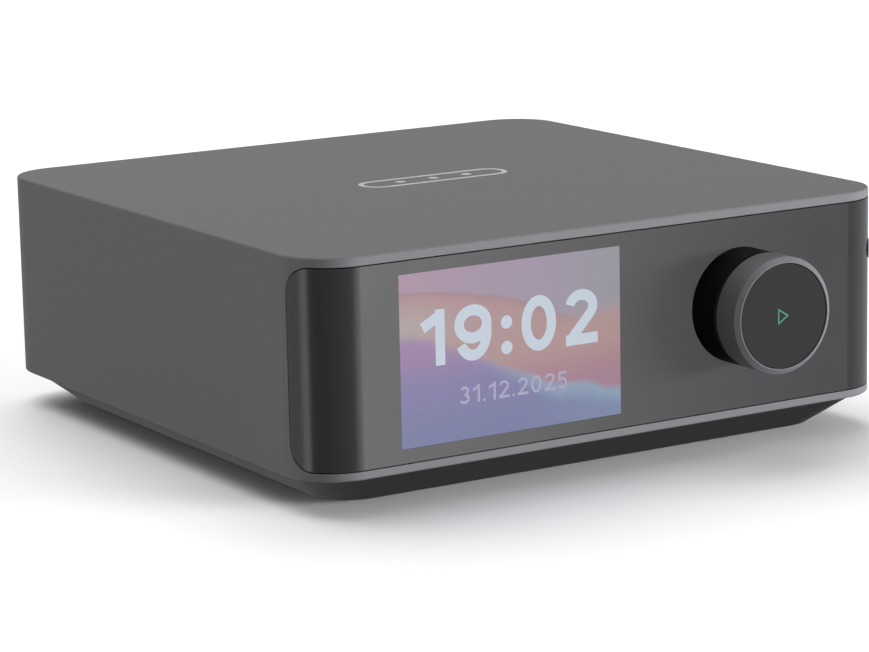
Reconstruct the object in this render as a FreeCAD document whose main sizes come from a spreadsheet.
import FreeCAD, Part
import Sketcher
import math, os, re

# A desktop digital-to-analogue converter with a colour display and a turn-and-press knob.
# Sizes are in millimetres. +Z is up, the front faces -Y, and the origin is on the floor
# under the middle of the whole object, knob and rear sockets included.

SIZES = {
    # case
    "case_w": 200.0, "case_d": 198.0, "shell_height": 62.4, "corner": 16.0,
    "wall": 3.5, "rear_wall": 4.5, "top_plate": 2.2, "edge_break": 0.35, "bottom_round": 0.6,
    "post_x": 78.0, "post_front": 38.0, "post_back": 24.0, "post_r": 4.5,
    "thread_r": 1.25, "thread_depth": 10.0, "screw_gap": 0.05,
    # plinth and feet
    "foot_proud": 1.0, "foot_recess": 0.6, "foot_r": 9.0, "foot_x": 62.0, "foot_y": 62.0,
    "foot_gap": 0.1, "plinth_height": 9.6, "plinth_top_inset": 2.6, "plinth_bottom_inset": 14.0,
    "plinth_top_round": 13.5, "plinth_bottom_round": 12.0, "plinth_floor": 2.2,
    "plinth_rim": 18.0, "boss_r": 5.2, "base_head_r": 2.75, "base_head": 1.8,
    "slot_w": 2.0, "slot_run": 22.0, "slot_step": 5.0, "slot_count": 15,
    # fascia
    "rim_top": 2.58, "rim_bottom": 2.43, "fascia_gap": 0.35, "fascia_thick": 2.5,
    "wrap_arc": 22.5, "fascia_round": 8.0, "frame_half": 84.0, "frame_thick": 2.5,
    "bond_gap": 0.05, "frame_play": 0.3,
    # display
    "screen_w": 73.44, "screen_tall": 48.96, "screen_x": -35.2, "screen_up": 0.1,
    "panel_w": 77.0, "panel_tall": 53.0, "panel_thick": 2.5, "backing_thick": 1.0,
    # knob
    "knob_x": 43.9, "knob_up": 2.4, "knob_r": 17.14, "knob_out": 21.4, "collar_r": 17.1,
    "collar_out": 10.6, "collar_wall": 1.9, "head_gap": 1.3, "knob_chamfer_r": 1.4,
    "knob_chamfer_run": 1.15, "knob_mouth_r": 15.44, "web_thick": 2.0, "sleeve_r": 8.0,
    "hub_r": 7.0, "shaft_r": 5.0, "turn_gap": 0.06, "face_r": 15.1, "face_thick": 1.4,
    "face_sink": 0.25, "seat_thick": 1.4, "sleeve_in": 7.6, "end_play": 0.05,
    "clip_thick": 0.6, "clip_r": 6.4, "tail_half": 3.0, "slide_gap": 0.04,
    "guide_at": 9.3, "guide_thick": 2.0, "guide_half": 6.9, "guide_inner": 5.3,
    "tail_clip_r": 4.8, "knob_travel": 0.7, "plunger_r": 1.7, "plunger_run": 2.0,
    "switch_half": 3.0, "switch_deep": 3.4, "wheel_rim": 4.5, "wheel_at": 6.0,
    "wheel_thick": 0.6, "collar_gap": 1.0, "collar_screw_pcd_r": 14.2, "small_thread_r": 0.85,
    "icon_left": 2.07, "icon_right": 1.71, "icon_half": 2.35, "icon_line": 0.34,
    "icon_deep": 0.3, "lamp_r": 1.6,
    # front board
    "control_at": 17.0, "board_thick": 1.6, "control_half": 80.0, "control_low": 16.0,
    "control_high": 66.5, "control_pillar_x": 77.0, "control_pillar_up": 21.5,
    "pillar_r": 2.1,
    # headphone socket
    "jack_angle": 51.0, "jack_up": 12.5, "jack_bore": 1.78, "jack_ring_r": 2.9,
    "jack_proud": 0.25, "jack_half": 3.7, "jack_deep": 11.0,
    # boards inside
    "boards_z": 20.0, "boards_front": 24.0, "boards_back": 8.0, "main_left": -72.0,
    "main_right": 38.0, "power_left": 43.0, "power_right": 72.0, "stand_r": 2.8,
    "stand_inset": 4.5, "stand_back": 34.0,
    "processor_x": -20.0, "processor_ahead": 20.0, "processor_w": 17.0, "processor_tall": 1.4,
    "sink_w": 30.0, "sink_plate": 2.0, "fin_tall": 10.0, "fin_root": 0.5, "fin_thick": 1.4,
    "fin_step": 4.0,
    "chip_x": 12.0, "chip_step": 24.0, "chip_behind": 18.0, "chip_w": 9.0, "chip_tall": 1.2,
    "radio_x": -56.0, "radio_ahead": 44.0, "radio_w": 16.0, "radio_run": 22.0,
    "radio_tall": 2.6,
    "can_right": 24.0, "can_mid": 2.0, "can_left": -24.0, "can_near": 34.0, "can_far": 48.0,
    "can_r": 5.0, "can_tall": 16.0, "can_round": 0.8,
    "core_x": 57.5, "core_ahead": 8.0, "core_w": 28.0, "core_run": 34.0, "core_tall": 24.0,
    "core_plate": 4.0, "leg_w": 8.0, "leg_run": 22.0, "coil_gap": 0.1, "coil_inset": 1.2,
    "ribbon_x": -20.0, "ribbon_w": 20.0, "ribbon_thick": 0.4, "ribbon_out": 3.0,
    "ribbon_high": 38.0, "ribbon_low": 25.0, "ribbon_reach": 14.0,
    # rear panel
    "rear_out": 8.5, "seat_w": 164.0, "seat_tall": 54.0, "seat_deep": 1.8, "seat_round": 3.0,
    "window_w": 154.0, "window_tall": 44.0, "panel_sink": 0.3, "panel_play": 0.15,
    "cut_play": 0.15, "panel_head_r": 2.2, "panel_head": 1.2,
    # mains inlet
    "inlet_x": 58.0, "inlet_w": 24.6, "inlet_tall": 14.0, "inlet_deep": 17.0,
    "inlet_nose_w": 22.0, "inlet_nose_tall": 12.8, "inlet_lobe": 5.2, "inlet_pitch": 8.6,
    "inlet_waist": 7.0, "inlet_hollow": 12.5, "pin_r": 1.2,
    # data sockets
    "lan_x": 32.0, "lan_w": 16.0, "lan_tall": 13.6, "lan_deep": 21.0, "lan_mouth_w": 11.8,
    "lan_mouth_tall": 8.4, "lan_hollow": 14.0,
    "usb_x": 12.0, "usb_w": 13.2, "usb_tall": 5.9, "usb_deep": 14.0, "usb_skin": 0.35,
    "usb_tongue": 1.9,
    "video_x": -8.0, "video_w": 15.0, "video_tall": 5.6, "video_deep": 12.0,
    "video_tongue": 1.2,
    "socket_proud": 0.5,
    # optical sockets
    "optic_in_x": -28.0, "optic_out_x": -44.0, "optic_w": 11.0, "optic_tall": 11.0,
    "optic_deep": 13.0, "optic_wall": 1.3, "optic_hollow": 9.4, "flap_side": 0.3,
    "flap_above": 0.5, "flap_below": 7.0, "flap_thick": 0.8, "flap_at": 0.8,
    "flap_drop": 1.0, "axle_r": 0.45, "axle_gap": 0.07, "axle_inset": 0.5,
    # trigger socket
    "trigger_x": -60.0, "trigger_half": 4.0, "trigger_deep": 13.0, "trigger_nose_r": 3.0,
    "trigger_bore": 1.78,
    # phono sockets and ground post
    "row_z": 51.0, "phono_first_x": 46.0, "phono_pair": 16.0, "phono_step": 36.0,
    "phono_r": 4.15, "phono_bore": 3.2, "phono_flange_r": 5.6,
    "phono_flange": 0.8, "phono_centre_r": 1.6, "phono_back": 10.0,
    "audio_at": 14.0, "audio_left": -54.0, "audio_right": 54.0, "audio_low": 43.0,
    "audio_high": 60.0,
    "ground_x": 67.0, "stud_r": 1.95, "nut_gap": 0.05, "washer_r": 4.8, "washer_gap": 0.3,
    "washer_thick": 0.6, "nut_r": 4.4, "nut_thick": 4.2, "stud_out": 8.2,
}

DERIVED = {
    "front_y": "knob_out - (knob_out + case_d + rear_out) / 2",
    "back_y": "front_y + case_d",
    "case_y": "front_y + case_d / 2",
    "shell_z": "foot_proud + plinth_height",
    "shell_top": "shell_z + shell_height",
    "mid_z": "shell_z + shell_height / 2",
    "opening_z": "shell_z + rim_bottom",
    "opening_top": "shell_top - rim_top",
    "knob_z": "mid_z + knob_up",
    "screen_z": "mid_z + screen_up",
    "jack_z": "mid_z + jack_up",
    "corner_x": "case_w / 2 - corner",
    "corner_y": "front_y + corner",
    "ring_back": "collar_out + head_gap",
    "collar_bore": "sleeve_r + collar_gap",
    "wheel_r": "sleeve_r + wheel_rim",
    "seat_front": "knob_out - face_sink - face_thick",
    "panel_y": "back_y - panel_sink",
    "panel_front": "back_y - seat_deep",
    "deck_z": "boards_z + board_thick",
    "optic_mouth": "optic_w - 2 * optic_wall",
    "axle_half": "optic_w / 2 - axle_inset",
    "flap_half": "optic_mouth / 2 - flap_side",
    "flap_z": "deck_z + optic_tall / 2 + optic_mouth / 2 - flap_drop",
}

NAMES = set(SIZES) | set(DERIVED)

doc = FreeCAD.newDocument("desktop_dac")
sheet = doc.addObject("Spreadsheet::Sheet", "dims")
parts = {}


def fill_sheet():
    """Write each driving size as a plain number and each worked-out size as a formula."""
    rows = [(name, str(number)) for name, number in SIZES.items()]
    rows += [(name, "=" + formula) for name, formula in DERIVED.items()]
    for row, (name, content) in enumerate(rows, start=1):
        sheet.set(f"A{row}", name)
        sheet.set(f"B{row}", content)
        sheet.setAlias(f"B{row}", name)
    doc.recompute()


def spell(text):
    """Turn a formula in size names into one that an object can be bound to."""
    return re.sub(r"[a-z_]+", lambda m: "dims." + m[0] if m[0] in NAMES else m[0], text)


def value(text):
    """The present value of a formula in size names."""
    return float(sheet.evalExpression(spell(text)))


# Sketch outlines. Each returns a function that adds its geometry to a sketch and lists its rules:
# pairs of a constraint and the formula that drives it, or None for one that only joins.

def rule(kind, *where, formula=None):
    if formula is None:
        return Sketcher.Constraint(kind, *where), None
    return Sketcher.Constraint(kind, *where, value(formula)), formula


def circle(x, y, radius):
    def draw(sketch):
        centre = FreeCAD.Vector(value(x), value(y), 0)
        ring = Part.Circle(centre, FreeCAD.Vector(0, 0, 1), value(radius))
        index = sketch.addGeometry(ring, False)
        return [rule("DistanceX", -1, 1, index, 3, formula=x),
                rule("DistanceY", -1, 1, index, 3, formula=y),
                rule("Radius", index, formula=radius)]
    return draw


def polygon(*corners):
    def draw(sketch):
        first = sketch.GeometryCount
        count = len(corners)
        spots = [FreeCAD.Vector(value(x), value(y), 0) for x, y in corners]
        for n in range(count):
            sketch.addGeometry(Part.LineSegment(spots[n], spots[(n + 1) % count]), False)
        rules = []
        for n, (x, y) in enumerate(corners):
            rules.append(rule("Coincident", first + n, 2, first + (n + 1) % count, 1))
            rules.append(rule("DistanceX", -1, 1, first + n, 1, formula=x))
            rules.append(rule("DistanceY", -1, 1, first + n, 1, formula=y))
        return rules
    return draw


def span(left, low, right, high):
    """A rectangle between two opposite corners."""
    return polygon((left, low), (right, low), (right, high), (left, high))


def box(x, y, width, height):
    """A rectangle about its centre."""
    left, right = f"{x} - ({width}) / 2", f"{x} + ({width}) / 2"
    low, high = f"{y} - ({height}) / 2", f"{y} + ({height}) / 2"
    return span(left, low, right, high)


def hexagon(x, y, radius):
    turns = [(math.cos(math.radians(a)), math.sin(math.radians(a))) for a in range(0, 360, 60)]
    return polygon(*[(f"{x} + {c:.6f} * ({radius})", f"{y} + {s:.6f} * ({radius})")
                     for c, s in turns])


def rounded(x, y, width, height, radius):
    """A rectangle about its centre with rounded corners."""
    def draw(sketch):
        half_w, half_h, bend = value(width) / 2, value(height) / 2, value(radius)
        mid_x, mid_y = value(x), value(y)
        first = sketch.GeometryCount
        for n in range(4):
            turn = FreeCAD.Rotation(FreeCAD.Vector(0, 0, 1), 90 * n)
            run, rise = (half_w, half_h) if n % 2 == 0 else (half_h, half_w)
            middle = FreeCAD.Vector(mid_x, mid_y, 0)
            begin = middle + turn.multVec(FreeCAD.Vector(bend - run, -rise, 0))
            end = middle + turn.multVec(FreeCAD.Vector(run - bend, -rise, 0))
            pivot = middle + turn.multVec(FreeCAD.Vector(run - bend, bend - rise, 0))
            ring = Part.Circle(pivot, FreeCAD.Vector(0, 0, 1), bend)
            start = math.radians(90 * n - 90)
            sketch.addGeometry(Part.LineSegment(begin, end), False)
            sketch.addGeometry(Part.ArcOfCircle(ring, start, start + math.pi / 2), False)
        rules = [rule("Tangent", first + n, 2, first + (n + 1) % 8, 1) for n in range(8)]
        for n in (0, 4):
            rules.append(rule("Horizontal", first + n))
            rules.append(rule("Vertical", first + n + 2))
        rules += [rule("Equal", first + 1, first + n) for n in (3, 5, 7)]
        sides = (("DistanceY", f"{y} - ({height}) / 2"), ("DistanceX", f"{x} + ({width}) / 2"),
                 ("DistanceY", f"{y} + ({height}) / 2"), ("DistanceX", f"{x} - ({width}) / 2"))
        for n, (kind, formula) in enumerate(sides):
            rules.append(rule(kind, -1, 1, first + 2 * n, 1, formula=formula))
        rules.append(rule("Radius", first + 1, formula=radius))
        return rules
    return draw


def circles(spots, radius):
    return [circle(x, y, radius) for x, y in spots]


# Features. A pad or pocket starts at a height along its plane's axis and runs the positive way.

PLANES = {"XY": ("XY_Plane", 1), "XZ": ("XZ_Plane", -1), "YZ": ("YZ_Plane", 1)}


def new_body(label, x="0", y="0", z="0"):
    body = doc.addObject("PartDesign::Body", label)
    for axis, formula in zip("xyz", (x, y, z)):
        if formula != "0":
            body.setExpression(f"Placement.Base.{axis}", spell(formula))
    return body


def sketch_on(body, plane, start, outlines):
    role, way = PLANES[plane]
    sketch = body.newObject("Sketcher::SketchObject", body.Name + "_sketch")
    support = [f for f in body.Origin.OriginFeatures if f.Role == role][0]
    sketch.AttachmentSupport = [(support, "")]
    sketch.MapMode = "FlatFace"
    sketch.setExpression("AttachmentOffset.Base.z", spell(f"{way} * ({start})"))
    rules = [found for draw in outlines for found in draw(sketch)]
    sketch.addConstraint([constraint for constraint, formula in rules])
    for index, (constraint, formula) in enumerate(rules):
        if formula is not None:
            sketch.renameConstraint(index, f"size{index}")
            sketch.setExpression(f"Constraints.size{index}", spell(formula))
    return sketch


def pad(body, plane, start, length, *outlines):
    sketch = sketch_on(body, plane, start, outlines)
    feature = body.newObject("PartDesign::Pad", body.Name + "_pad")
    feature.Profile = sketch
    feature.setExpression("Length", spell(length))
    feature.Reversed = PLANES[plane][1] < 0


def pocket(body, plane, start, length, *outlines):
    sketch = sketch_on(body, plane, start, outlines)
    feature = body.newObject("PartDesign::Pocket", body.Name + "_pocket")
    feature.Profile = sketch
    feature.setExpression("Length", spell(length))
    feature.Reversed = PLANES[plane][1] > 0


def turned(body, *corners):
    """Revolve an outline of (y, radius) corners about the body's own Y axis."""
    sketch = sketch_on(body, "YZ", "0", [polygon(*corners)])
    feature = body.newObject("PartDesign::Revolution", body.Name + "_turn")
    feature.Profile = sketch
    feature.ReferenceAxis = (sketch, ["H_Axis"])
    feature.Angle = 360.0


def soften(body, kind, prop, amount, height):
    """Chamfer or fillet every edge of the solid that lies at one height."""
    doc.recompute()
    level = value(height)
    tip = body.Tip
    names = [f"Edge{n}" for n, edge in enumerate(tip.Shape.Edges, start=1)
             if abs(edge.BoundBox.ZMin - level) < 0.001 and abs(edge.BoundBox.ZMax - level) < 0.001]
    feature = body.newObject(kind, body.Name + "_edge")
    feature.Base = (tip, names)
    feature.setExpression(prop, spell(amount))


def repeat(body, length, count):
    """Repeat the last feature along +X."""
    last = body.Tip
    pattern = body.newObject("PartDesign::LinearPattern", body.Name + "_row")
    pattern.Originals = [last]
    pattern.Direction = ([f for f in body.Origin.OriginFeatures if f.Role == "X_Axis"][0], [""])
    pattern.setExpression("Length", spell(length))
    pattern.setExpression("Occurrences", spell(count))
    body.Tip = pattern


def keep(label, feature):
    feature.Label = label
    parts[label] = feature


def four(x, low, high):
    """Four spots, symmetric left and right."""
    return [(f"-({x})", low), (x, low), (x, high), (f"-({x})", high)]


def screws(label, plane, spots, head, shaft, head_r, shaft_r, socket):
    """Socket-head screws at several spots. Head, shaft and socket are (start, length) pairs."""
    body = new_body(label)
    pad(body, plane, *head, *circles(spots, head_r))
    pad(body, plane, *shaft, *circles(spots, shaft_r))
    pocket(body, plane, *socket, *[hexagon(x, y, f"({head_r}) * 0.45") for x, y in spots])
    keep(label, body)


POSTS = four("post_x", "front_y + post_front", "back_y - post_back")
FEET = four("foot_x", "case_y - foot_y", "case_y + foot_y")
PANEL_SCREWS = four("(seat_w + window_w) / 4", "mid_z - (seat_tall + window_tall) / 4",
                    "mid_z + (seat_tall + window_tall) / 4")
CONTROL_PILLARS = four("control_pillar_x", "mid_z - control_pillar_up",
                       "mid_z + control_pillar_up")
STANDS = [(x, y) for x in ("main_left + stand_inset", "main_right - stand_inset",
                           "(power_left + power_right) / 2")
          for y in ("front_y + boards_front + stand_inset", "back_y - stand_back")]
COLLAR_SCREWS = [(f"knob_x + {math.cos(math.radians(a)):.6f} * collar_screw_pcd_r",
                  f"knob_z + {math.sin(math.radians(a)):.6f} * collar_screw_pcd_r")
                 for a in (30, 150, 270)]
WHITE_PHONOS = [(f"phono_first_x - {n} * phono_step", "row_z") for n in range(3)]
RED_PHONOS = [(f"{x} - phono_pair", z) for x, z in WHITE_PHONOS]
PHONOS = WHITE_PHONOS + RED_PHONOS


# Case

def wrapped_prism(name, inset):
    """A prism through the front whose rounded outline is laid round both front corners."""
    reach = value("wrap_arc") - inset
    bend = value("fascia_round") - inset
    low, high = value("opening_z") + inset, value("opening_top") - inset
    corner, straight = value("corner"), value("corner_x")
    start = value("front_y") - 1

    def lay(run, height, side):
        return FreeCAD.Vector(side * (straight + corner * math.sin(run / corner)), start, height)

    def quarter(side, up):
        edge, way = (high, 1) if up else (low, -1)
        spots = []
        for step in range(13):
            angle = math.radians(7.5 * step)
            run = reach - bend + bend * math.sin(angle)
            spots.append(lay(run, edge - way * bend * (1 - math.cos(angle)), side))
        return spots

    curves = [quarter(1, True), quarter(1, False)[::-1], quarter(-1, False),
              quarter(-1, True)[::-1]]
    edges = []
    for n, spots in enumerate(curves):
        spline = Part.BSplineCurve()
        spline.interpolate(spots)
        edges.append(spline.toShape())
        edges.append(Part.LineSegment(spots[-1], curves[(n + 1) % 4][0]).toShape())
    depth = 1 + corner * (1 - math.cos(reach / corner))
    feature = doc.addObject("Part::Feature", name)
    feature.Shape = Part.Face(Part.Wire(edges)).extrude(FreeCAD.Vector(0, depth, 0))
    return feature


def boolean(kind, label, base, tool):
    feature = doc.addObject(kind, label)
    feature.Base = base
    feature.Tool = tool
    return feature


def shell():
    """Aluminium case, open below, with the wrapped front opening and a stepped rear window."""
    body = new_body("shell_blank")
    outline = rounded("0", "case_y", "case_w", "case_d", "corner")
    pad(body, "XY", "shell_z", "shell_height", outline)
    soften(body, "PartDesign::Chamfer", "Size", "edge_break", "shell_top")
    soften(body, "PartDesign::Fillet", "Radius", "bottom_round", "shell_z")
    cavity = rounded("0", "case_y + (wall - rear_wall) / 2", "case_w - 2 * wall",
                     "case_d - wall - rear_wall", "corner - wall")
    pocket(body, "XY", "shell_z", "shell_height - top_plate", cavity)
    pad(body, "XY", "shell_z", "shell_height - top_plate / 2", *circles(POSTS, "post_r"))
    pocket(body, "XY", "shell_z", "thread_depth", *circles(POSTS, "thread_r"))
    pocket(body, "XZ", "back_y - seat_deep", "seat_deep",
           rounded("0", "mid_z", "seat_w", "seat_tall", "seat_round"))
    pocket(body, "XZ", "back_y - rear_wall", "rear_wall",
           rounded("0", "mid_z", "window_w", "window_tall", "seat_round"))
    pocket(body, "XZ", "back_y - rear_wall", "rear_wall", *circles(PANEL_SCREWS, "thread_r"))
    opening = wrapped_prism("fascia_opening", 0)
    keep("shell", boolean("Part::Cut", "shell", body, opening))


def plinth():
    """Tapered base tray with screw bosses, foot recesses and cooling slots."""
    body = new_body("plinth")
    lower = sketch_on(body, "XY", "foot_proud", [
        rounded("0", "case_y", "case_w - 2 * plinth_bottom_inset",
                "case_d - 2 * plinth_bottom_inset", "plinth_bottom_round")])
    upper = sketch_on(body, "XY", "shell_z", [
        rounded("0", "case_y", "case_w - 2 * plinth_top_inset",
                "case_d - 2 * plinth_top_inset", "plinth_top_round")])
    loft = body.newObject("PartDesign::AdditiveLoft", "plinth_loft")
    loft.Profile = lower
    loft.Sections = [upper]
    loft.Ruled = True
    pocket(body, "XY", "foot_proud + plinth_floor", "plinth_height",
           rounded("0", "case_y", "case_w - 2 * plinth_rim", "case_d - 2 * plinth_rim",
                   "plinth_bottom_round"))
    pad(body, "XY", "foot_proud + 1", "plinth_height - 1", *circles(POSTS, "boss_r"))
    pocket(body, "XY", "foot_proud", "plinth_height",
           *circles(POSTS, "thread_r + 0.4"))
    pocket(body, "XY", "foot_proud", "base_head + 0.6",
           *circles(POSTS, "base_head_r + 0.3"))
    pocket(body, "XY", "foot_proud", "foot_recess", *circles(FEET, "foot_r + foot_gap"))
    for side in ("-", "+"):
        pocket(body, "XY", "foot_proud", "plinth_floor",
               rounded("-slot_step * (slot_count - 1) / 2", f"case_y {side} slot_run * 1.5",
                       "slot_w", "slot_run", "slot_w * 0.4"))
        repeat(body, "slot_step * (slot_count - 1)", "slot_count")
    keep("plinth", body)


def feet():
    """Round rubber feet let into the plinth."""
    body = new_body("feet")
    pad(body, "XY", "0", "foot_proud + foot_recess", *circles(FEET, "foot_r"))
    soften(body, "PartDesign::Chamfer", "Size", "foot_recess / 2", "0")
    keep("feet", body)


def base_screws():
    """Screws up through the plinth into the case posts."""
    head_z = "foot_proud + 0.6"
    screws("base_screws", "XY", POSTS, (head_z, "base_head"),
           (head_z, "plinth_height + thread_depth - 2.6"), "base_head_r",
           "thread_r - screw_gap", (head_z, "base_head * 0.6"))


# Front

def fascia():
    """Dark glossy front that wraps both corners, with screen, knob and socket openings."""
    band = new_body("fascia_band")
    outer = rounded("0", "case_y", "case_w", "case_d", "corner")
    inner = rounded("0", "case_y", "case_w - 2 * fascia_thick", "case_d - 2 * fascia_thick",
                    "corner - fascia_thick")
    pad(band, "XY", "shell_z", "shell_height", outer, inner)
    pocket(band, "XZ", "front_y", "fascia_thick",
           box("screen_x", "screen_z", "screen_w", "screen_tall"))
    pocket(band, "XZ", "front_y", "fascia_thick", circle("knob_x", "knob_z", "collar_bore"),
           *circles(COLLAR_SCREWS, "small_thread_r + 0.25"))
    outline = wrapped_prism("fascia_outline", value("fascia_gap"))
    front = boolean("Part::Common", "fascia_front", band, outline)
    drill = new_body("socket_drill")
    aim_at_corner(drill)
    turned(drill, ("-corner - 1", "0"), ("-corner - 1", "jack_ring_r + bond_gap"),
           ("-corner + fascia_thick + 0.4", "jack_ring_r + bond_gap"),
           ("-corner + fascia_thick + 0.4", "0"))
    keep("fascia", boolean("Part::Cut", "fascia", front, drill))


def fascia_frame():
    """Moulded frame behind the fascia, with a lip that hooks behind the case rims."""
    body = new_body("fascia_frame")
    low, high = "opening_z + frame_play", "opening_top - frame_play"
    back = "front_y + fascia_thick + bond_gap"
    pad(body, "XZ", back, "frame_thick", span("-frame_half", low, "frame_half", high))
    pad(body, "XZ", "front_y + wall + bond_gap",
        "fascia_thick + frame_thick - wall",
        span("-frame_half", "opening_z - 1.8", "frame_half", "shell_top - top_plate - 0.1"))
    pocket(body, "XZ", "front_y", "wall + frame_thick + 1",
           box("screen_x", "screen_z", "panel_w + 1", "panel_tall + 1"))
    pocket(body, "XZ", "front_y", "wall + frame_thick + 1",
           circle("knob_x", "knob_z", "collar_bore"),
           *circles(COLLAR_SCREWS, "small_thread_r + 0.25"))
    keep("fascia_frame", body)


def screen_glass():
    body = new_body("screen_glass")
    pad(body, "XZ", "front_y", "fascia_thick",
        box("screen_x", "screen_z", "screen_w - 2 * bond_gap", "screen_tall - 2 * bond_gap"))
    keep("screen_glass", body)


def display_panel():
    body = new_body("display_panel")
    pad(body, "XZ", "front_y + fascia_thick + bond_gap", "panel_thick",
        box("screen_x", "screen_z", "panel_w", "panel_tall"))
    keep("display_panel", body)


def display_backing():
    """Folded metal tray that holds the display panel."""
    body = new_body("display_backing")
    start = "front_y + fascia_thick + 2 * bond_gap + panel_thick"
    pad(body, "XZ", start, "backing_thick",
        box("screen_x", "screen_z", "panel_w + 1", "panel_tall + 4"))
    pad(body, "XZ", start + " + backing_thick", "0.6",
        box("screen_x", "screen_z", "panel_w - 20", "panel_tall - 20"))
    keep("display_backing", body)


# Knob: each piece is drawn about the knob's axis, with y = 0 on the fascia's front

def knob_body(label):
    return new_body(label, "knob_x", "front_y", "knob_z")


def knob_collar():
    """Fixed black collar on the fascia."""
    body = knob_body("knob_collar")
    turned(body, ("0", "collar_bore"), ("-2", "collar_bore"), ("-2", "collar_r - collar_wall"),
           ("-collar_out", "collar_r - collar_wall"), ("-collar_out", "collar_r"),
           ("0", "collar_r"))
    holes = [(x.replace("knob_x + ", ""), z.replace("knob_z + ", "")) for x, z in COLLAR_SCREWS]
    pocket(body, "XZ", "-1.5", "1.5", *circles(holes, "small_thread_r"))
    keep("knob_collar", body)


def collar_screws():
    """Short screws from inside that hold the collar."""
    head_y = "front_y + fascia_thick + frame_thick + 2 * bond_gap"
    body = new_body("collar_screws")
    pad(body, "XZ", head_y, "0.6", *circles(COLLAR_SCREWS, "1.6"))
    pad(body, "XZ", "front_y - 1.4", "fascia_thick + frame_thick + 1.6",
        *circles(COLLAR_SCREWS, "small_thread_r - screw_gap"))
    keep("collar_screws", body)


def knob_ring():
    """Turned aluminium ring with a sleeve that runs on the carriage shaft."""
    body = knob_body("knob_ring")
    bore = "shaft_r + turn_gap"
    turned(body, ("sleeve_in", bore), ("sleeve_in", "sleeve_r"), ("-ring_back", "sleeve_r"),
           ("-ring_back", "knob_r"), ("-knob_out + knob_chamfer_run", "knob_r"),
           ("-knob_out", "knob_r - knob_chamfer_r"), ("-knob_out", "knob_mouth_r"),
           ("-ring_back - web_thick", "knob_mouth_r"), ("-ring_back - web_thick", "hub_r"),
           ("-seat_front + seat_thick + end_play", "hub_r"),
           ("-seat_front + seat_thick + end_play", bore))
    keep("knob_ring", body)


def knob_carriage():
    """Shaft that slides but does not turn: face seat in front, square tail behind."""
    body = knob_body("knob_carriage")
    turned(body, ("guide_at - end_play * 8", "0"), ("guide_at - end_play * 8", "tail_half"),
           ("sleeve_in + 2 * end_play", "tail_half"), ("sleeve_in + 2 * end_play", "shaft_r"),
           ("-seat_front + seat_thick", "shaft_r"),
           ("-seat_front + seat_thick", "face_r - 0.5"), ("-seat_front", "face_r - 0.5"),
           ("-seat_front", "0"))
    pad(body, "XZ", "sleeve_in + end_play", "control_at - switch_deep - 1 - sleeve_in - end_play",
        box("0", "0", "2 * tail_half", "2 * tail_half"))
    pocket(body, "XZ", "-seat_front", "1", circle("0", "0", "lamp_r + 0.1"))
    keep("knob_carriage", body)


def icon_outline(grow):
    """Triangle pointing right; grow moves each side outwards."""
    return polygon((f"-icon_left - {grow} * 1.0", f"-icon_half - {grow} * 1.75"),
                   (f"icon_right + {grow} * 2.1", "0"),
                   (f"-icon_left - {grow} * 1.0", f"icon_half + {grow} * 1.75"))


def knob_face():
    """Dark disc with a shallow triangular groove for the lit icon."""
    body = knob_body("knob_face")
    turned(body, ("-seat_front", "0"), ("-seat_front", "face_r"),
           ("-seat_front - face_thick", "face_r"), ("-seat_front - face_thick", "0"))
    pocket(body, "XZ", "-seat_front - face_thick", "icon_deep",
           icon_outline("0"), icon_outline("-icon_line"))
    keep("knob_face", body)


def play_icon():
    body = knob_body("play_icon")
    pad(body, "XZ", "-seat_front - face_thick", "icon_deep",
        icon_outline("0"), icon_outline("-icon_line"))
    keep("play_icon", body)


def knob_lamp():
    body = knob_body("knob_lamp")
    pad(body, "XZ", "-seat_front", "1", circle("0", "0", "lamp_r"))
    keep("knob_lamp", body)


def sleeve_clip():
    """Ring on the shaft behind the sleeve."""
    body = knob_body("sleeve_clip")
    pad(body, "XZ", "sleeve_in + end_play * 2", "clip_thick", circle("0", "0", "clip_r"),
        box("0", "0", "2 * tail_half", "2 * tail_half"))
    keep("sleeve_clip", body)


def tail_clip():
    """Ring on the tail behind the guide plate."""
    body = knob_body("tail_clip")
    pad(body, "XZ", "guide_at + guide_thick + end_play", "clip_thick",
        circle("0", "0", "tail_clip_r"), box("0", "0", "2 * tail_half", "2 * tail_half"))
    keep("tail_clip", body)


def code_wheel():
    """Slotted disc on the sleeve, read by the wheel sensor."""
    body = knob_body("code_wheel")
    pad(body, "XZ", "wheel_at", "wheel_thick", circle("0", "0", "wheel_r"),
        circle("0", "0", "sleeve_r + bond_gap"))
    slots = []
    for angle in range(0, 360, 20):
        cos, sin = math.cos(math.radians(angle)), math.sin(math.radians(angle))
        slots.append(circle(f"{cos:.6f} * (wheel_r + sleeve_r) / 2",
                            f"{sin:.6f} * (wheel_r + sleeve_r) / 2", "1.1"))
    pocket(body, "XZ", "wheel_at", "wheel_thick", *slots)
    keep("code_wheel", body)


def wheel_sensor():
    """Forked sensor on the control board that straddles the code wheel."""
    body = knob_body("wheel_sensor")
    front = "wheel_at - 0.8"
    pad(body, "YZ", "-3", "6",
        span(front, "wheel_r - 3", "control_at", "wheel_r + 4"))
    pocket(body, "YZ", "-3", "6",
           span("wheel_at - 0.3", "wheel_r - 3", "wheel_at + wheel_thick + knob_travel + 0.4",
                "wheel_r + 1"))
    pocket(body, "YZ", "-3", "6", span("wheel_at + wheel_thick + knob_travel + 0.4",
                                       "wheel_r - 3", "control_at - 2", "wheel_r - 1.5"))
    keep("wheel_sensor", body)


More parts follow.
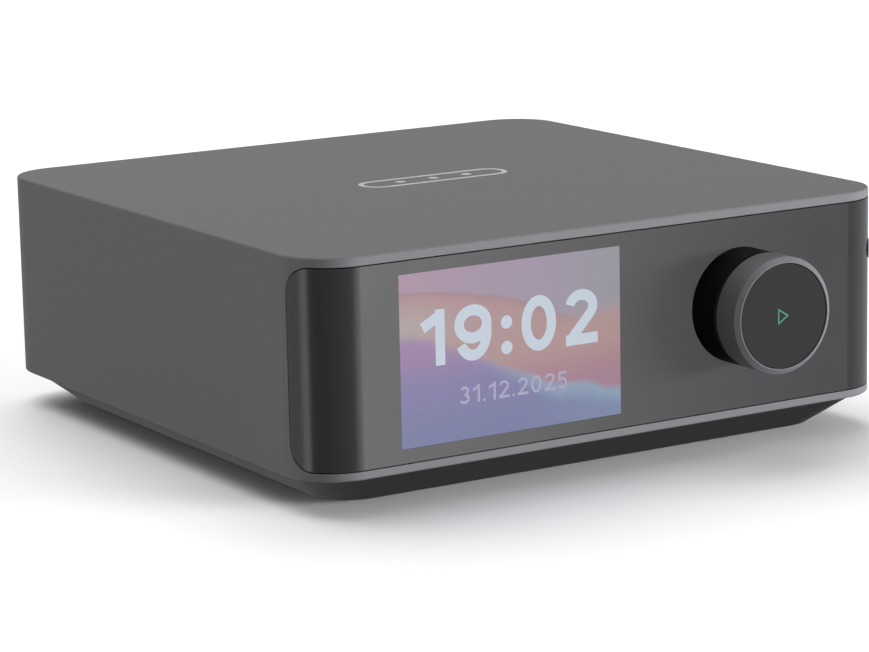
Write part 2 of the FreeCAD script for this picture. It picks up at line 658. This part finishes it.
def knob_guide():
    """Square guide box on the control board, with the hole the tail slides in."""
    body = knob_body("knob_guide")
    pad(body, "XZ", "guide_at", "control_at - guide_at",
        box("0", "0", "2 * guide_half", "2 * guide_half"))
    pocket(body, "XZ", "guide_at + guide_thick", "control_at - guide_at - guide_thick",
           box("0", "0", "2 * guide_inner", "2 * guide_inner"))
    pocket(body, "XZ", "guide_at", "guide_thick",
           box("0", "0", "2 * (tail_half + slide_gap)", "2 * (tail_half + slide_gap)"))
    keep("knob_guide", body)


def press_switch():
    """Push switch under the tail, hollow where the plunger goes in."""
    body = knob_body("press_switch")
    pad(body, "XZ", "control_at - switch_deep", "switch_deep",
        box("0", "0", "2 * switch_half", "2 * switch_half"))
    pocket(body, "XZ", "control_at - switch_deep", "1 + knob_travel + 0.4",
           circle("0", "0", "plunger_r + 0.25"))
    keep("press_switch", body)


def switch_plunger():
    body = knob_body("switch_plunger")
    pad(body, "XZ", "control_at - switch_deep - 1", "plunger_run", circle("0", "0", "plunger_r"))
    keep("switch_plunger", body)


def control_board():
    """Upright board behind the display that carries the knob's guide, sensor and switch."""
    body = new_body("control_board")
    pad(body, "XZ", "front_y + control_at", "board_thick",
        span("-control_half", "control_low", "control_half", "control_high"))
    pocket(body, "XZ", "front_y + control_at", "board_thick",
           *circles(CONTROL_PILLARS, "thread_r"))
    keep("control_board", body)


def control_pillars():
    """Threaded pillars between the fascia frame and the control board."""
    body = new_body("control_pillars")
    start = "front_y + fascia_thick + frame_thick + bond_gap"
    length = "control_at - fascia_thick - frame_thick - bond_gap"
    pad(body, "XZ", start, length, *circles(CONTROL_PILLARS, "pillar_r"))
    pocket(body, "XZ", start + " + 3", length, *circles(CONTROL_PILLARS, "thread_r"))
    keep("control_pillars", body)


def control_screws():
    head_y = "front_y + control_at + board_thick"
    screws("control_screws", "XZ", CONTROL_PILLARS, (head_y, "1.4"),
           (head_y + " - 7", "7.5"), "2.3", "thread_r - screw_gap", (head_y + " + 0.5", "1"))


def control_ribbon():
    """Flat cable, folded down from the control board to the main board."""
    body = new_body("control_ribbon")
    near, far = "front_y + control_at + board_thick", "front_y + boards_front + ribbon_reach"
    bend = f"{near} + ribbon_out"
    pad(body, "YZ", "ribbon_x - ribbon_w / 2", "ribbon_w", polygon(
        (near, "ribbon_high"), (bend, "ribbon_high"), (bend, "ribbon_low"), (far, "ribbon_low"),
        (far, "deck_z"), (f"{far} + ribbon_thick", "deck_z"),
        (f"{far} + ribbon_thick", "ribbon_low + ribbon_thick"),
        (f"{bend} + ribbon_thick", "ribbon_low + ribbon_thick"),
        (f"{bend} + ribbon_thick", "ribbon_high + ribbon_thick"),
        (near, "ribbon_high + ribbon_thick")))
    keep("control_ribbon", body)


# Headphone socket: drawn about the front right corner's centre, facing out through the corner

def aim_at_corner(body):
    body.setExpression("Placement.Base.x", spell("corner_x"))
    body.setExpression("Placement.Base.y", spell("corner_y"))
    body.setExpression("Placement.Base.z", spell("jack_z"))
    body.Placement = FreeCAD.Placement(body.Placement.Base,
                                       FreeCAD.Rotation(FreeCAD.Vector(0, 0, 1), 1))
    body.setExpression("Placement.Rotation.Angle", spell("jack_angle"))


def phones_ring():
    body = new_body("phones_ring")
    aim_at_corner(body)
    front, back = "-corner - jack_proud", "-corner + fascia_thick + 0.5"
    turned(body, (front, "jack_bore"), (front, "jack_ring_r"), (back, "jack_ring_r"),
           (back, "jack_bore"))
    keep("phones_ring", body)


def phones_jack():
    """Moulded socket body behind the ring."""
    body = new_body("phones_jack")
    aim_at_corner(body)
    front = "-corner + fascia_thick + 0.5 + bond_gap"
    pad(body, "XZ", front, "jack_deep", box("0", "0", "2 * jack_half", "2 * jack_half"))
    pocket(body, "XZ", front, "jack_deep - 1", circle("0", "0", "jack_bore"))
    keep("phones_jack", body)


# Boards inside

def board_stands():
    """Pillars from the plinth floor up to the boards."""
    body = new_body("board_stands")
    floor = "foot_proud + plinth_floor"
    pad(body, "XY", floor, f"boards_z - ({floor})", *circles(STANDS, "stand_r"))
    pocket(body, "XY", "boards_z - 8", "8", *circles(STANDS, "thread_r"))
    keep("board_stands", body)


def board_screws():
    screws("board_screws", "XY", STANDS, ("deck_z", "1.5"), ("deck_z - 7", "7.5"), "2.4",
           "thread_r - screw_gap", ("deck_z + 0.5", "1.1"))


def flat_board(label, left, right):
    body = new_body(label)
    pad(body, "XY", "boards_z", "board_thick",
        span(left, "front_y + boards_front", right, "back_y - boards_back"))
    holes = [spot for spot in STANDS
             if value(left) < value(spot[0]) < value(right)]
    pocket(body, "XY", "boards_z", "board_thick", *circles(holes, "thread_r + screw_gap"))
    keep(label, body)


def audio_board():
    """Upright board behind the phono sockets."""
    body = new_body("audio_board")
    pad(body, "XZ", "back_y - audio_at", "board_thick",
        span("audio_left", "audio_low", "audio_right", "audio_high"))
    pocket(body, "XZ", "back_y - audio_at", "board_thick", *circles(PHONOS, "0.7"))
    keep("audio_board", body)


def blocks(label, height, *footprints):
    """Upright solids standing on the boards."""
    body = new_body(label)
    pad(body, "XY", "deck_z", height, *footprints)
    keep(label, body)
    return body


def heatsink():
    """Finned block on the processor."""
    base_z = "deck_z + processor_tall + bond_gap"
    fins = []
    for n in range(-3, 4):
        fins.append(box(f"processor_x + {n} * fin_step", "case_y - processor_ahead", "fin_thick",
                        "sink_w"))
    body = new_body("heatsink")
    pad(body, "XY", base_z, "sink_plate",
        box("processor_x", "case_y - processor_ahead", "sink_w", "sink_w"))
    pad(body, "XY", f"{base_z} + sink_plate - fin_root", "fin_tall", *fins)
    keep("heatsink", body)


def transformer():
    """Core of two plates and a leg, with the winding round the leg."""
    across, along = "core_x", "case_y - core_ahead"
    body = new_body("transformer_core")
    pad(body, "XY", "deck_z", "core_tall", box(across, along, "leg_w", "leg_run"))
    for level in ("deck_z", "deck_z + core_tall - core_plate"):
        pad(body, "XY", level, "core_plate", box(across, along, "core_w", "core_run"))
    keep("transformer_core", body)
    body = new_body("transformer_coil")
    start, height = "deck_z + core_plate + coil_gap", "core_tall - 2 * core_plate - 2 * coil_gap"
    pad(body, "XY", start, height,
        box(across, along, "core_w - 2 * coil_inset", "core_run - 2 * coil_inset"))
    pocket(body, "XY", start, height,
           box(across, along, "leg_w + 2 * coil_gap", "leg_run + 2 * coil_gap"))
    keep("transformer_coil", body)


def board_parts():
    """Processor, converter chips, radio module, capacitors, heatsink and transformer."""
    blocks("processor", "processor_tall",
           box("processor_x", "case_y - processor_ahead", "processor_w", "processor_w"))
    heatsink()
    chips = []
    for n in range(3):
        chips.append(box(f"chip_x - {n} * chip_step", "case_y + chip_behind", "chip_w", "chip_w"))
    blocks("converter_chips", "chip_tall", *chips)
    blocks("radio_can", "radio_tall",
           box("radio_x", "case_y - radio_ahead", "radio_w", "radio_run"))
    cans = [(x, f"case_y + {y}") for x in ("can_right", "can_mid", "can_left")
            for y in ("can_near", "can_far")]
    body = blocks("capacitors", "can_tall", *circles(cans, "can_r"))
    soften(body, "PartDesign::Fillet", "Radius", "can_round", "deck_z + can_tall")
    transformer()


# Rear

def rear_panel():
    """Steel panel let into the back, with a cut-out for each socket."""
    body = new_body("rear_panel")
    thick = "seat_deep - panel_sink"
    pad(body, "XZ", "panel_front", thick,
        rounded("0", "mid_z", "seat_w - 2 * panel_play", "seat_tall - 2 * panel_play",
                "seat_round - panel_play"))
    cuts = [
        rounded("inlet_x", "deck_z + inlet_tall / 2", "inlet_nose_w + 2 * cut_play",
                "inlet_nose_tall + 2 * cut_play", "3"),
        box("lan_x", "deck_z + lan_tall / 2", "lan_w + 2 * cut_play", "lan_tall + 2 * cut_play"),
        box("usb_x", "deck_z + usb_tall / 2", "usb_w + 2 * cut_play", "usb_tall + 2 * cut_play"),
        box("video_x", "deck_z + video_tall / 2", "video_w + 2 * cut_play",
            "video_tall + 2 * cut_play"),
        circle("trigger_x", "deck_z + trigger_half", "trigger_nose_r + cut_play"),
        circle("ground_x", "row_z", "stud_r + cut_play"),
    ]
    for x in ("optic_in_x", "optic_out_x"):
        cuts.append(box(x, "deck_z + optic_tall / 2", "optic_w + 2 * cut_play",
                        "optic_tall + 2 * cut_play"))
    pocket(body, "XZ", "panel_front", thick, *cuts)
    pocket(body, "XZ", "panel_front", thick, *circles(PHONOS, "phono_r + cut_play"),
           *circles(PANEL_SCREWS, "thread_r + 0.2"))
    keep("rear_panel", body)


def panel_screws():
    screws("panel_screws", "XZ", PANEL_SCREWS, ("panel_y", "panel_head"),
           ("panel_y - 3.8", "4.2"), "panel_head_r", "thread_r - screw_gap",
           ("panel_y + 0.4", "panel_head"))


def inlet_housing():
    """Mains inlet with a figure-of-eight hollow."""
    body = new_body("inlet_housing", "inlet_x", "back_y", "deck_z + inlet_tall / 2")
    pad(body, "XZ", "-seat_deep - inlet_deep", "inlet_deep",
        box("0", "0", "inlet_w", "inlet_tall"))
    pad(body, "XZ", "-seat_deep - 1", "1 + seat_deep + socket_proud",
        rounded("0", "0", "inlet_nose_w", "inlet_nose_tall", "2.8"))
    start = "socket_proud - inlet_hollow"
    for side in ("-", ""):
        pocket(body, "XZ", start, "inlet_hollow",
               circle(f"{side}inlet_pitch / 2", "0", "inlet_lobe"))
    pocket(body, "XZ", start, "inlet_hollow", box("0", "0", "inlet_pitch", "inlet_waist"))
    keep("inlet_housing", body)


def inlet_pins():
    body = new_body("inlet_pins", "inlet_x", "back_y", "deck_z + inlet_tall / 2")
    pad(body, "XZ", "socket_proud - inlet_hollow", "inlet_hollow - 2",
        circle("-inlet_pitch / 2", "0", "pin_r"), circle("inlet_pitch / 2", "0", "pin_r"))
    keep("inlet_pins", body)


def lan_socket():
    body = new_body("lan_socket", "lan_x", "back_y", "deck_z + lan_tall / 2")
    pad(body, "XZ", "socket_proud - lan_deep", "lan_deep", box("0", "0", "lan_w", "lan_tall"))
    start = "socket_proud - lan_hollow"
    pocket(body, "XZ", start, "lan_hollow", box("0", "1", "lan_mouth_w", "lan_mouth_tall"))
    pocket(body, "XZ", start, "lan_hollow", box("0", "-4", "4", "4"))
    keep("lan_socket", body)


def usb_shell():
    body = new_body("usb_shell", "usb_x", "back_y", "deck_z + usb_tall / 2")
    pad(body, "XZ", "socket_proud - usb_deep", "usb_deep", box("0", "0", "usb_w", "usb_tall"))
    pocket(body, "XZ", "socket_proud - usb_deep + 2", "usb_deep - 2",
           box("0", "0", "usb_w - 2 * usb_skin", "usb_tall - 2 * usb_skin"))
    keep("usb_shell", body)


def video_outline(skin):
    half, low, high = "video_w / 2", "video_tall / 2", "video_tall / 2"
    return polygon((f"-{half} + 2 + {skin} * 0.6", f"-{low} + {skin}"),
                   (f"{half} - 2 - {skin} * 0.6", f"-{low} + {skin}"),
                   (f"{half} - {skin}", f"-{low} + 2 + {skin} * 0.6"),
                   (f"{half} - {skin}", f"{high} - {skin}"),
                   (f"-{half} + {skin}", f"{high} - {skin}"),
                   (f"-{half} + {skin}", f"-{low} + 2 + {skin} * 0.6"))


def video_shell():
    """Digital video socket shell with chamfered lower corners."""
    body = new_body("video_shell", "video_x", "back_y", "deck_z + video_tall / 2")
    pad(body, "XZ", "socket_proud - video_deep", "video_deep", video_outline("0"))
    pocket(body, "XZ", "socket_proud - video_deep + 2", "video_deep - 2",
           video_outline("usb_skin"))
    keep("video_shell", body)


def data_tongues():
    """Contact tongues inside the two metal-shelled data sockets."""
    body = new_body("data_tongues", "0", "back_y", "deck_z")
    top = "usb_tall - usb_skin - 0.4"
    pad(body, "XZ", "socket_proud - usb_deep + 2", "usb_deep - 3",
        span("usb_x - usb_w / 2 + 1", f"{top} - usb_tongue", "usb_x + usb_w / 2 - 1", top))
    pad(body, "XZ", "socket_proud - video_deep + 2", "video_deep - 3",
        box("video_x", "video_tall / 2 + 0.4", "video_w - 4", "video_tongue"))
    keep("data_tongues", body)


def optical_sockets():
    """Two optical sockets, each with a hollow its flap swings into."""
    body = new_body("optical_sockets", "0", "back_y", "deck_z + optic_tall / 2")
    centres = ("optic_in_x", "optic_out_x")
    pad(body, "XZ", "socket_proud - optic_deep", "optic_deep",
        *[box(x, "0", "optic_w", "optic_tall") for x in centres])
    pocket(body, "XZ", "socket_proud - optic_hollow", "optic_hollow",
           *[box(x, "0", "optic_mouth", "optic_mouth") for x in centres])
    for x in centres:
        pocket(body, "YZ", f"{x} - axle_half - 0.2", "2 * axle_half + 0.4",
               circle("-flap_at", "optic_mouth / 2 - flap_drop", "axle_r + axle_gap"))
    keep("optical_sockets", body)


def optical_flap(label, x):
    """Flap with stub axles, hung from the top of the socket's mouth."""
    body = new_body(label, x, "back_y - flap_at", "flap_z")
    pad(body, "YZ", "-flap_half", "2 * flap_half",
        span("-flap_thick / 2", "-flap_below", "flap_thick / 2", "flap_above"))
    pad(body, "YZ", "-axle_half", "2 * axle_half", circle("0", "0", "axle_r"))
    keep(label, body)


def trigger_socket():
    body = new_body("trigger_socket", "trigger_x", "back_y", "deck_z + trigger_half")
    pad(body, "XZ", "-seat_deep - trigger_deep", "trigger_deep",
        box("0", "0", "2 * trigger_half", "2 * trigger_half"))
    pad(body, "XZ", "-seat_deep - 1", "1 + seat_deep + socket_proud",
        circle("0", "0", "trigger_nose_r"))
    pocket(body, "XZ", "-seat_deep - trigger_deep + 1", "trigger_deep + seat_deep + socket_proud",
           circle("0", "0", "trigger_bore"))
    keep("trigger_socket", body)


def phono_shells():
    """Barrels of the phono sockets, with a flange on the panel."""
    body = new_body("phono_shells")
    start = "back_y - phono_back"
    tube = circles(PHONOS, "phono_r") + circles(PHONOS, "phono_bore")
    pad(body, "XZ", start, "phono_back + rear_out", *tube)
    flange = circles(PHONOS, "phono_flange_r") + circles(PHONOS, "phono_bore")
    pad(body, "XZ", "panel_y", "phono_flange", *flange)
    keep("phono_shells", body)


def phono_inserts(label, spots):
    """Coloured insulators inside the barrels, bored for the centre contact."""
    body = new_body(label)
    pad(body, "XZ", "back_y - phono_back", "phono_back + rear_out - 0.6",
        *circles(spots, "phono_bore - 0.02"), *circles(spots, "phono_centre_r + 0.5"))
    keep(label, body)


def phono_contacts():
    """Split centre contacts that run back to the audio board."""
    body = new_body("phono_contacts")
    pad(body, "XZ", "back_y - phono_back", "phono_back + rear_out - 1",
        *circles(PHONOS, "phono_centre_r + 0.45"), *circles(PHONOS, "phono_centre_r"))
    pad(body, "XZ", "back_y - audio_at + 0.2", "audio_at - phono_back + 2",
        *circles(PHONOS, "0.65"))
    pad(body, "XZ", "back_y - phono_back", "1.6", *circles(PHONOS, "phono_centre_r + 0.4"))
    keep("phono_contacts", body)


def ground_stud():
    body = new_body("ground_stud", "ground_x", "back_y", "row_z")
    pad(body, "XZ", "-seat_deep - 3", "3", hexagon("0", "0", "3.6"))
    pad(body, "XZ", "-seat_deep - 1", "seat_deep + 1 + stud_out", circle("0", "0", "stud_r"))
    keep("ground_stud", body)


def ground_washer():
    body = new_body("ground_washer", "ground_x", "back_y", "row_z")
    pad(body, "XZ", "-panel_sink + nut_gap", "washer_thick", circle("0", "0", "washer_r"),
        circle("0", "0", "stud_r + washer_gap"))
    keep("ground_washer", body)


def ground_nut():
    """Knurled thumb nut on the ground post."""
    body = new_body("ground_nut", "ground_x", "back_y", "row_z")
    start = "-panel_sink + 2 * nut_gap + washer_thick"
    pad(body, "XZ", start, "nut_thick", circle("0", "0", "nut_r"),
        circle("0", "0", "stud_r + nut_gap"))
    flutes = []
    for angle in range(0, 360, 20):
        cos, sin = math.cos(math.radians(angle)), math.sin(math.radians(angle))
        flutes.append(circle(f"{cos:.6f} * (nut_r + 0.25)", f"{sin:.6f} * (nut_r + 0.25)", "0.55"))
    pocket(body, "XZ", f"{start} + 0.8", "nut_thick", *flutes)
    keep("ground_nut", body)


def build_all():
    for make in (shell, plinth, feet, base_screws, fascia, fascia_frame, screen_glass,
                 display_panel, display_backing, knob_collar, collar_screws, knob_ring,
                 knob_carriage, knob_face, play_icon, knob_lamp, sleeve_clip, tail_clip,
                 code_wheel, wheel_sensor, knob_guide, press_switch, switch_plunger,
                 control_board, control_pillars, control_screws, control_ribbon, phones_ring,
                 phones_jack, board_stands, board_screws, audio_board, board_parts,
                 rear_panel, panel_screws, inlet_housing, inlet_pins, lan_socket,
                 usb_shell, video_shell, data_tongues, optical_sockets, trigger_socket,
                 phono_shells, phono_contacts, ground_stud, ground_washer, ground_nut):
        make()
    flat_board("main_board", "main_left", "main_right")
    flat_board("power_board", "power_left", "power_right")
    optical_flap("optical_flap_in", "optic_in_x")
    optical_flap("optical_flap_out", "optic_out_x")
    phono_inserts("phono_inserts_white", WHITE_PHONOS)
    phono_inserts("phono_inserts_red", RED_PHONOS)


def check_and_write():
    doc.recompute()
    for feature in doc.Objects:
        bad = {"Invalid", "Error"} & set(feature.State)
        if bad:
            raise RuntimeError(f"{feature.Label} is {bad}")
    os.makedirs("parts", exist_ok=True)
    for label, feature in parts.items():
        shape = feature.Shape
        if shape.isNull() or not shape.isValid() or not shape.Solids:
            raise RuntimeError(f"{label} has no good solid")
        shape.exportStep(f"parts/{label}.step")
        print(label, len(shape.Solids), "solids", round(shape.Volume, 1))


fill_sheet()
build_all()
check_and_write()
